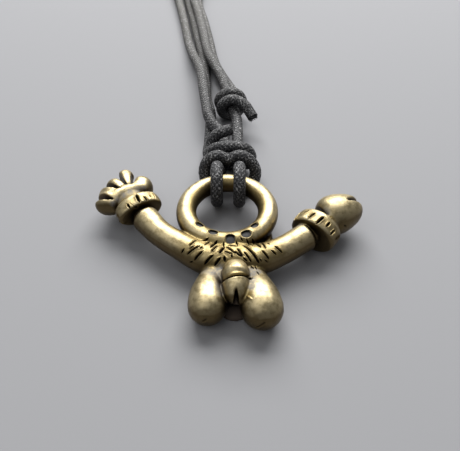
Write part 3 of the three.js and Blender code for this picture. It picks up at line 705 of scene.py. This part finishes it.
surfaceMarks = [  # places along each mark, width and depth; a depth below nothing stands proud
    # the cuff's notches
    ([(-15.55, 5.25, 6.26), (-14.99, 4.45, 6.03)], 0.44, 0.3),
    ([(-15.17, 5.42, 6.2), (-14.59, 4.9, 6.28), (-14.29, 4.8, 6.15)], 0.16, 0.1),
    ([(-14.35, 4.82, 6.15), (-14.03, 4.8, 5.85)], 0.42, 0.28),
    ([(-14.28, 6.88, 6.4), (-13.63, 5.41, 6.4)], 0.54, 0.34),
    ([(-13.14, 6.64, 6.48), (-12.52, 5.96, 6.23)], 0.42, 0.3),
    ([(-12.37, 7.29, 6.19), (-12.02, 6.75, 6.13)], 0.28, 0.16),
    ([(-12.2, 8.2, 5.8), (-11.43, 6.95, 5.7)], 0.3, 0.24),
    ([(-17.07, 4.49, 4.8), (-16.85, 4.11, 4.61)], 0.36, 0.24),
    ([(-16.9, 3.95, 3.8), (-15.84, 3.92, 3.37)], 0.34, 0.24),
    # the collar's notches
    ([(11.68, 3.34, 5.94), (12.68, 3.61, 6.44)], 0.36, 0.26),
    ([(12.33, 1.83, 6.61), (13.43, 2.72, 6.82)], 0.42, 0.32),
    ([(13.39, 0.7, 6.63), (14.64, 1.95, 6.79)], 0.5, 0.36),
    ([(14.85, 0.33, 6.35), (15.58, 1.25, 6.39)], 0.44, 0.32),
    ([(15.45, -0.48, 5.48), (16.29, 0.44, 5.54)], 0.42, 0.3),
    ([(16.43, -0.41, 4.39), (17.11, 0.62, 4.23)], 0.38, 0.28),
    ([(10.8, 3.15, 5.33), (11.0, 3.7, 5.4), (11.5, 4.3, 5.5)], 0.2, 0.12),
    ([(10.5, 2.9, 4.9), (10.7, 3.6, 5.0), (11.1, 4.2, 5.1)], 0.2, 0.12),
    # the balls' nicks, the ridge beside the slit, the glans's spot and the flash below the left arm
    ([(-3.4, -14.2, 2.8), (-2.7, -14.2, 3.6)], 0.44, 0.08),
    ([(3.9, -14.9, 2.5), (5.3, -15.0, 4.0)], 0.36, 0.08),
    ([(2.8, -11.6, 5.2), (3.5, -12.4, 5.6)], 0.4, -0.14),
    ([(18.0, 1.9, 5.0), (18.4, 2.0, 4.5)], 0.35, 0.12),
    ([(-9.8, 0.4, 1.5), (-7.4, -1.7, 1.2), (-4.6, -4.1, 1.0), (-3.1, -5.7, 1.0)], 0.42, -0.17),
]
greyFilm = [  # middle and size of each patch of grey film
    ((-18.0, 6.3, 5.4), 0.6), ((-17.3, 7.0, 5.5), 0.65), ((-16.5, 7.7, 5.8), 0.7), ((-15.5, 8.3, 5.9), 0.75),
    ((-14.4, 8.9, 5.8), 0.75), ((-13.4, 9.3, 5.6), 0.6), ((-1.1, -6.2, 4.4), 1.0),
    ((-2.1, -7.0, 4.4), 1.1), ((-2.9, -6.5, 3.8), 0.95), ((4.4, -6.9, 4.5), 0.95),
    ((-1.1, -7.7, 4.3), 1.1), ((-1.1, -9.5, 4.75), 0.95), ((-1.0, -10.7, 4.9), 0.8), ((3.5, -6.7, 4.5), 1.0),
    ((3.65, -7.7, 4.7), 1.1), ((3.65, -9.1, 5.3), 0.95), ((3.5, -10.3, 5.6), 0.8), ((15.2, 3.4, 6.2), 0.9),
    ((16.2, 1.9, 5.2), 0.8), ((11.2, 1.5, 5.2), 0.6),
]
soot = [((1.15, -11.8, 1.0), 1.7), ((1.2, -10.9, 2.8), 1.3)]  # dull crust between the balls
carving = {
    "hairDepth": 0.22, "hairLeast": 0.6, "rimWidth": 0.62, "rimDepth": 0.4, "step": 0.06, "narrow": 0.96,
    "fullDepth": 0.16,  # a mark this deep has a full burr and a black floor
    "reach": 0.7, "leastHalf": 0.07,
    "wallFrom": 1.15, "wallRun": 0.75, "burrFrom": 1.4, "burrRun": 0.4,  # shares of a mark's half width
    "burr": 0.08,
    "taperFrom": 0.4, "taperRun": 0.45, "shortest": 8,  # ends run out, except on a mark of few points
}
punching = {
    "depth": 0.36, "lowest": 3.4, "reach": 1.6, "bowl": 1.12, "bowlRun": 0.34,
    "rim": 1.22, "rimRun": 0.14, "rimHeight": 0.05, "floor": 1.1, "floorRun": 0.2,
    "edge": 0.98, "edgeRun": 0.16, "edgeFrom": 0.2, "edgeFade": 0.5,
}


def easeSurface(bm, verts, times):
    for _ in range(times):
        bmesh.ops.smooth_vert(bm, verts=verts, factor=0.5, use_axis_x=True, use_axis_y=True, use_axis_z=True)


def treeOf(mesh):
    return BVHTree.FromPolygons([v.co for v in mesh.vertices], [p.vertices for p in mesh.polygons])


# the metal's top at a place, met from well above the casting
def topAt(tree, x, y):
    return tree.ray_cast(Vector((x, y, 20)), Vector((0, 0, -1)))[0]


# how far each point lies below its surroundings
def sunken(mesh, times):
    co = pointValues(mesh, "co")
    edges = np.empty(len(mesh.edges) * 2, np.int32)
    mesh.edges.foreach_get("vertices", edges)
    a, b = edges.reshape(-1, 2).T
    count = len(co)
    degree = np.bincount(edges, minlength=count)[:, None]
    eased = co.copy()
    for _ in range(times):
        total = [np.bincount(a, eased[b, k], count) + np.bincount(b, eased[a, k], count) for k in range(3)]
        eased = 0.5 * (eased + np.stack(total, 1) / degree)
    return ((eased - co) * pointValues(mesh, "normal")).sum(1)


# share of the view from each point that nearby metal blocks
def sheltered(mesh, shape):
    tree, count, reach = treeOf(mesh), shape["rays"], shape["shelterReach"]
    ways = []
    for i in range(count):
        out, turn = math.sqrt((i + 0.5) / count), goldenTurn * i
        ways.append(Vector((out * math.cos(turn), out * math.sin(turn), math.sqrt(1 - out**2))))
    up = Vector((0, 0, 1))
    shares = np.zeros(len(mesh.vertices))
    for i, v in enumerate(mesh.vertices):
        turn = up.rotation_difference(v.normal).to_matrix()
        start = v.co + v.normal * shape["shelterLift"]
        shares[i] = sum(tree.ray_cast(start, turn @ way, reach)[0] is not None for way in ways)
    return shares / count


# a mark as close points with a width and a depth at each
def markPoints(places, width, depth, tree, fromAbove=False):
    line = evenSteps(np.array(places, float), carving["step"])
    ends = np.minimum(np.arange(len(line)), np.arange(len(line))[::-1]) * carving["step"]
    taper = np.clip(carving["taperFrom"] + ends / carving["taperRun"], 0, 1)
    if len(line) <= carving["shortest"]:
        taper = np.ones(len(line))
    rows = []
    for place, share in zip(line, taper):
        spot = topAt(tree, *place[:2]) if fromAbove else tree.find_nearest(Vector(place))[0]
        if spot:
            rows.append((spot, width * share, depth * share))
    return rows


def rimMarks(tree):
    stand = Matrix.Translation(bodyOrigin) @ aim(phallusShape["rim"], phallusShape["rimWay"])
    radius, sweep = phallusShape["rimRadius"], phallusShape["rimSweep"]
    turns = np.linspace(-sweep, sweep, 40)
    line = [stand @ Vector((radius * math.cos(a), radius * math.sin(a), 0)) for a in turns]
    return markPoints(line, carving["rimWidth"], carving["rimDepth"], tree)


def allMarks(tree):
    rows = rimMarks(tree)
    for x0, y0, x1, y1, width in hairStrokes:
        depth = carving["hairDepth"] * (carving["hairLeast"] + width)
        rows += markPoints([(x0, y0, 0), (x1, y1, 0)], width, depth, tree, fromAbove=True)
    for places, width, depth in surfaceMarks:
        rows += markPoints(places, width, depth, tree)
    return rows


def finder(places):
    found = KDTree(len(places))
    for i, place in enumerate(places):
        found.insert(place, i)
    found.balance()
    return found


# finer faces along the marks
def refineMarks(bm, found, reach):
    near = [found.find(v.co)[2] < reach for v in bm.verts]
    bm.verts.index_update()
    edges = [e for e in bm.edges if near[e.verts[0].index] and near[e.verts[1].index]]
    bmesh.ops.subdivide_edges(bm, edges=edges, cuts=1, use_grid_fill=True)
    easeSurface(bm, [v for v in bm.verts if found.find(v.co)[2] < reach], 2)


# sinks the marks with a burr along their edges; gives the new places and the dark of each
def carve(co, normals, rows, found, cut):
    moved, dark = np.zeros(len(co)), np.zeros(len(co))
    for k, place in enumerate(co):
        _, i, gap = found.find(place)
        if i >= len(rows) or gap > cut["reach"]:
            continue
        _, width, depth = rows[i]
        half = max(cut["narrow"] * width / 2, cut["leastHalf"])
        wall = smoothStep(min(1.0, max(0.0, (cut["wallFrom"] * half - gap) / (cut["wallRun"] * half))))
        strength = min(1.0, max(0.0, depth / cut["fullDepth"]))
        edge = math.exp(-(((gap - cut["burrFrom"] * half) / (cut["burrRun"] * half)) ** 2))
        moved[k] = cut["burr"] * strength * edge - depth * wall
        dark[k] = strength * wall
    return co + normals * moved[:, None], dark


# sinks the ovals, whose measures are shares of their half widths; gives places, floors and far edges
def punch(co, normals, pits, tool):
    floor, edge = np.zeros(len(co)), np.zeros(len(co))
    for x, y, halfX, halfY, turn in pits:
        a = math.radians(turn)
        u = ((co[:, 0] - x) * math.cos(a) + (co[:, 1] - y) * math.sin(a)) / halfX
        v = (-(co[:, 0] - x) * math.sin(a) + (co[:, 1] - y) * math.cos(a)) / halfY
        r = np.sqrt(u**2 + v**2)
        on = (co[:, 2] > tool["lowest"]) & (r < tool["reach"])
        bowl = smoothStep(np.clip((tool["bowl"] - r) / tool["bowlRun"], 0, 1))
        rim = tool["rimHeight"] * np.exp(-(((r - tool["rim"]) / tool["rimRun"]) ** 2))
        co[on] += np.array([0, 0, -tool["depth"]]) * bowl[on][:, None] + normals[on] * rim[on][:, None]
        floor = np.maximum(floor, np.where(on, np.clip((tool["floor"] - r) / tool["floorRun"], 0, 1), 0))
        far = np.exp(-(((r - tool["edge"]) / tool["edgeRun"]) ** 2))
        far *= np.clip((v - tool["edgeFrom"]) / tool["edgeFade"], 0, 1)
        edge = np.maximum(edge, np.where(on, far, 0))
    return co, floor, edge


def patches(co, places):
    shares = [np.exp(-(np.linalg.norm(co - middle, axis=1) / size) ** 2) for middle, size in places]
    return np.max(shares, axis=0)


# fewer faces where the surface is plain and unmarked
def thinned(mesh, share, found, reach):
    held = newObject("castThinned", mesh)
    plain = held.vertex_groups.new(name="plain")
    plain.add([v.index for v in mesh.vertices if found.find(v.co)[2] > reach], 1.0, "REPLACE")
    fewer = held.modifiers.new("fewer", "DECIMATE")
    fewer.ratio = share
    fewer.vertex_group = "plain"
    made = finishedMesh(held)
    dropObject(held)
    return made


def finishCasting(mesh, shape):
    mesh.transform(Matrix.Translation(bodyOrigin))
    bm = bmesh.new()
    bm.from_mesh(mesh)
    easeSurface(bm, bm.verts, shape["ease"])
    bm.to_mesh(mesh)
    openMetal = sunken(mesh, shape["creviceSpan"]) < shape["creviceDepth"]  # crevices keep their depth
    easeSurface(bm, [v for v, on in zip(bm.verts, openMetal) if on], shape["openEase"])
    bm.to_mesh(mesh)
    bm.free()
    tree = treeOf(mesh)
    rows = allMarks(tree)
    pitRims = [topAt(tree, x + halfX * math.cos(a), y + halfY * math.sin(a))
               for x, y, halfX, halfY, _ in ringPits for a in np.linspace(0, 2 * math.pi, 14)]
    found = finder([spot for spot, _, _ in rows] + [spot for spot in pitRims if spot])
    mesh = thinned(mesh, shape["share"], found, shape["markReach"])
    floatLayer(mesh, "shelter", sheltered(mesh, shape))
    floatLayer(mesh, "proud", np.clip(-sunken(mesh, shape["proudSpan"]) / shape["proudHeight"], 0, 1))
    # how far each face turns towards the key light, for the painted shade on the brass
    floatLayer(mesh, "upper", pointValues(mesh, "normal") @ shape["keyLightWay"])
    bm = bmesh.new()
    bm.from_mesh(mesh)
    refineMarks(bm, found, shape["markReach"] - shape["voxel"])
    bm.to_mesh(mesh)
    bm.free()
    co, normals = pointValues(mesh, "co"), pointValues(mesh, "normal")
    co, cut = carve(co, normals, rows, found, carving)
    co, punched, pitEdge = punch(co, normals, ringPits, punching)
    co[:, 2] = np.maximum(co[:, 2], 0)
    mesh.vertices.foreach_set("co", co.astype(np.float32).ravel())
    mesh.update()
    floatLayer(mesh, "carved", np.maximum(cut, pitEdge))
    floatLayer(mesh, "punched", punched)
    floatLayer(mesh, "film", patches(co, greyFilm))
    floatLayer(mesh, "soot", patches(co, soot))
    settle(mesh, (0, 0, 0))
    mesh.materials.clear()
    mesh.name = "amuletCasting"
    mesh.shade_smooth()
    return mesh


finished = finishCasting(casting, castingMesh)
amulet = piece("amuletCasting", finished, "amulet_brass", "amulet", "amulet")
print("casting carved:", sum(len(p.vertices) - 2 for p in amulet.data.polygons), "triangles")


# node helpers
def addNode(tree, kind, inputs=(), **settings):
    made = tree.nodes.new(kind)
    for name, value in settings.items():
        setattr(made, name, value)
    for name, value in dict(inputs).items():
        if isinstance(value, bpy.types.NodeSocket):
            tree.links.new(value, made.inputs[name])
        else:
            made.inputs[name].default_value = value
    return made


def mathNode(tree, operation, a, b=0.0, clamp=False):
    return addNode(tree, "ShaderNodeMath", {0: a, 1: b}, operation=operation, use_clamp=clamp).outputs[0]


def product(tree, a, b, clamp=False):
    return mathNode(tree, "MULTIPLY", a, b, clamp)


def mixColour(tree, share, a, b):
    return addNode(tree, "ShaderNodeMix", {0: share, 6: a, 7: b}, data_type="RGBA").outputs[2]


def spread(tree, value, low, high, toLow=0.0, toHigh=1.0):
    return addNode(tree, "ShaderNodeMapRange", {0: value, 1: low, 2: high, 3: toLow, 4: toHigh}).outputs[0]


def placeIn(tree):
    spot = addNode(tree, "ShaderNodeTexCoord").outputs["Object"]
    return addNode(tree, "ShaderNodeSeparateXYZ", {0: spot}).outputs


def layer(tree, name):
    return addNode(tree, "ShaderNodeAttribute", attribute_name=name).outputs["Fac"]


def newGroup(name, inputs, outputs):
    group = bpy.data.node_groups.new(name, "ShaderNodeTree")
    for title, value in inputs:
        group.interface.new_socket(title, in_out="INPUT", socket_type="NodeSocketFloat").default_value = value
    for title in outputs:
        group.interface.new_socket(title, in_out="OUTPUT", socket_type="NodeSocketFloat")
    return group, group.nodes.new("NodeGroupInput"), group.nodes.new("NodeGroupOutput")


def grainGroup():
    inputs = [("Scale", 1000.0), ("Low", 0.4), ("High", 0.6)]
    group, given, out = newGroup("handGrain", inputs, ["Mask", "Height"])
    scale, low, high = (given.outputs[name] for name, _ in inputs)
    place = addNode(group, "ShaderNodeTexCoord").outputs["Object"]
    fineScale = product(group, scale, 4.3)
    coarse = addNode(group, "ShaderNodeTexNoise",
                     {"Vector": place, "Scale": scale, "Detail": 5.0, "Roughness": 0.62}).outputs["Fac"]
    fine = addNode(group, "ShaderNodeTexNoise",
                   {"Vector": place, "Scale": fineScale, "Detail": 3.0}).outputs["Fac"]
    height = mathNode(group, "ADD", product(group, coarse, 0.6), product(group, fine, 0.4))
    group.links.new(spread(group, coarse, low, high), out.inputs["Mask"])
    group.links.new(height, out.inputs["Height"])
    return group


handGrain = grainGroup()


def grain(tree, scale, low, high):
    inputs = {"Scale": scale, "Low": low, "High": high}
    return addNode(tree, "ShaderNodeGroup", inputs, node_tree=handGrain).outputs


def newMaterial(name):
    made = bpy.data.materials.new(name)
    made.use_nodes = True
    made.node_tree.nodes.clear()
    shader = addNode(made.node_tree, "ShaderNodeBsdfPrincipled")
    out = addNode(made.node_tree, "ShaderNodeOutputMaterial")
    made.node_tree.links.new(shader.outputs[0], out.inputs["Surface"])
    return made, made.node_tree, shader


def bump(tree, shader, height, strength, distance):
    made = addNode(tree, "ShaderNodeBump", {"Strength": strength, "Distance": distance, "Height": height})
    tree.links.new(made.outputs["Normal"], shader.inputs["Normal"])


# worn cast brass: bright where it is rubbed, olive on the flats, painted shade in dark brown on the faces
# turned from the key light, dark in the cuts
brassLook = {
    "rubbed": (0.62, 0.515, 0.3, 1), "olive": (0.4, 0.308, 0.135, 1), "tarnish": (0.22, 0.163, 0.07, 1),
    "paintedShade": (0.1, 0.07, 0.031, 1), "film": (0.21, 0.207, 0.207, 1), "pit": (0.07, 0.068, 0.066, 1),
    "brown": (0.035, 0.022, 0.011, 1), "black": (0.005, 0.004, 0.0035, 1), "crust": (0.1, 0.072, 0.053, 1),
}


def brassMaterial(look):
    made, tree, shader = newMaterial("amuletBrass")
    clouds = grain(tree, 330.0, 0.42, 0.64)
    mottle = grain(tree, 1200.0, 0.46, 0.66)
    specks = grain(tree, 2600.0, 0.45, 0.68)
    names = ("carved", "shelter", "proud", "upper", "punched", "film", "soot")
    carved, shelter, proud, upper, punched, film, sooted = (layer(tree, name) for name in names)
    veil = product(tree, spread(tree, film, 0.25, 0.8), spread(tree, specks["Mask"], 0, 1, 0.5, 1.0), True)
    crusted = spread(tree, sooted, 0.25, 0.65, 0, 0.95)
    coats = [  # one over the other
        ("tarnish", clouds["Mask"]),
        ("rubbed", spread(tree, proud, 0.1, 0.8)),
        ("tarnish", spread(tree, mottle["Mask"], 0, 1, 0, 0.6)),
        # painted shade: dark brown where a face turns away from the key light
        ("paintedShade", spread(tree, upper, 0.66, 0.14, 0, 0.94)),
        ("film", veil),
        ("pit", spread(tree, punched, 0.4, 1.0)),
        ("brown", spread(tree, shelter, 0.18, 0.5, 0, 0.92)),
        ("black", spread(tree, shelter, 0.48, 0.75, 0, 0.95)),
        ("crust", crusted),
        ("black", spread(tree, carved, 0.3, 0.75)),
    ]
    colour = look["olive"]
    for name, share in coats:
        colour = mixColour(tree, share, colour, look[name])
    tree.links.new(colour, shader.inputs["Base Color"])
    dull = mathNode(tree, "MAXIMUM", mathNode(tree, "MAXIMUM", veil, punched), crusted)
    tree.links.new(spread(tree, dull, 0, 1, 1.0, 0.2), shader.inputs["Metallic"])
    satin = spread(tree, clouds["Height"], 0.3, 0.7, 0.35, 0.49)
    rough = mathNode(tree, "ADD", satin, product(tree, dull, 0.3))
    rough = mathNode(tree, "ADD", rough, product(tree, carved, 0.4), True)
    tree.links.new(rough, shader.inputs["Roughness"])
    bump(tree, shader, specks["Height"], 0.36, 0.00012)
    return made


amulet.data.materials.append(brassMaterial(brassLook))

# waxed cotton: charcoal yarns with painted shade in the gaps between them, pale worn specks that are also a
# painted sheen on the upward tops, and tops that grow paler further from the ring
cottonLook = {
    "gap": (0.003, 0.003, 0.0035, 1), "yarn": (0.022, 0.022, 0.024, 1), "rubbed": (0.68, 0.67, 0.66, 1),
    "paleTops": (0.2, 0.19, 0.17, 1), "paleTopsFrom": 0.03, "paleTopsTo": 0.075,
}


def cottonMaterial(name, look, scale):
    made, tree, shader = newMaterial(name)
    wax = grain(tree, scale, 0.42, 0.62)
    fibre = grain(tree, scale * 3.0, 0.5, 0.58)
    raised, upper = layer(tree, "raised"), layer(tree, "upper")
    place = placeIn(tree)
    # painted shade: the gaps between the raised yarns are darker than the yarns
    colour = mixColour(tree, spread(tree, raised, 0.45, 0.85), look["gap"], look["yarn"])
    top = spread(tree, upper, -0.3, 0.75, 0.1, 1.0)
    # the tops of the raised yarns turn paler grey further along Y from the ring
    towardsNeck = spread(tree, place["Y"], look["paleTopsFrom"], look["paleTopsTo"], 0, 0.7)
    paleTops = product(tree, product(tree, towardsNeck, top), spread(tree, raised, 0.2, 0.7))
    colour = mixColour(tree, paleTops, colour, look["paleTops"])
    worn = product(tree, spread(tree, raised, 0.45, 0.9), fibre["Mask"], True)
    worn = product(tree, worn, spread(tree, wax["Mask"], 0, 1, 0.25, 1.0), True)
    # painted sheen: the pale worn specks show only on the upward tops of the yarns
    worn = product(tree, worn, top, True)
    colour = mixColour(tree, worn, colour, look["rubbed"])
    tree.links.new(colour, shader.inputs["Base Color"])
    tree.links.new(spread(tree, wax["Height"], 0.3, 0.7, 0.5, 0.8), shader.inputs["Roughness"])
    bump(tree, shader, fibre["Height"], 0.5, 0.0001)
    return made


cotton = cottonMaterial("waxedCotton", cottonLook, 1400.0)
for made in cords:
    made.data.materials.append(cotton)

tapeLook = {"weave": 0.35, "dark": (0.02, 0.02, 0.022, 1), "light": (0.085, 0.084, 0.088, 1)}


def tapeMaterial(look):
    made, tree, shader = newMaterial("tieTape")
    place = placeIn(tree)
    turns = 2 * math.pi / (look["weave"] * mm)
    warp = mathNode(tree, "SINE", product(tree, place["X"], turns))
    run = mathNode(tree, "ADD", place["Y"], place["Z"])
    weft = mathNode(tree, "SINE", product(tree, run, turns))
    weave = spread(tree, product(tree, warp, weft), -1, 1)
    fibre = grain(tree, 3000.0, 0.4, 0.65)
    shade = product(tree, weave, spread(tree, fibre["Mask"], 0, 1, 0.5, 1))
    tree.links.new(mixColour(tree, shade, look["dark"], look["light"]), shader.inputs["Base Color"])
    shader.inputs["Roughness"].default_value = 0.88
    bump(tree, shader, weave, 0.5, 0.00012)
    return made


tie.data.materials.append(tapeMaterial(tapeLook))
print("materials made")

# pale floor and soft studio light
studio = {
    "floor": (0.34, 0.34, 0.35, 1), "floorHalf": 1.5, "floorRough": 0.8,
    "key": {"place": (0.03, 0.42, 0.40), "size": (0.6, 0.4), "power": 5.6},
    "fill": {"place": (-0.25, -0.1, 0.5), "size": (0.5, 0.5), "power": 0.6},
    "world": (0.2, 0.205, 0.215, 1),
}


def makeStudio(setup):
    bm = bmesh.new()
    bmesh.ops.create_grid(bm, x_segments=2, y_segments=2, size=setup["floorHalf"])
    mesh = bpy.data.meshes.new("paleFloor")
    bm.to_mesh(mesh)
    bm.free()
    floor = newObject("paleFloor", mesh)
    made, _, shader = newMaterial("paleFloor")
    shader.inputs["Base Color"].default_value = setup["floor"]
    shader.inputs["Roughness"].default_value = setup["floorRough"]
    mesh.materials.append(made)
    for name in ("key", "fill"):
        lit = setup[name]
        light = bpy.data.lights.new(name + "Light", "AREA")
        light.shape = "RECTANGLE"
        light.size, light.size_y = lit["size"]
        light.energy = lit["power"]
        lamp = bpy.data.objects.new(name + "Light", light)
        lamp.location = lit["place"]
        lamp.rotation_euler = Vector(lit["place"]).to_track_quat("Z", "Y").to_euler()
        scene.collection.objects.link(lamp)
    world = bpy.data.worlds.new("studioWorld")
    world.use_nodes = True
    world.node_tree.nodes["Background"].inputs["Color"].default_value = setup["world"]
    scene.world = world
    scene.view_settings.view_transform = "Standard"


makeStudio(studio)
print("studio lit")
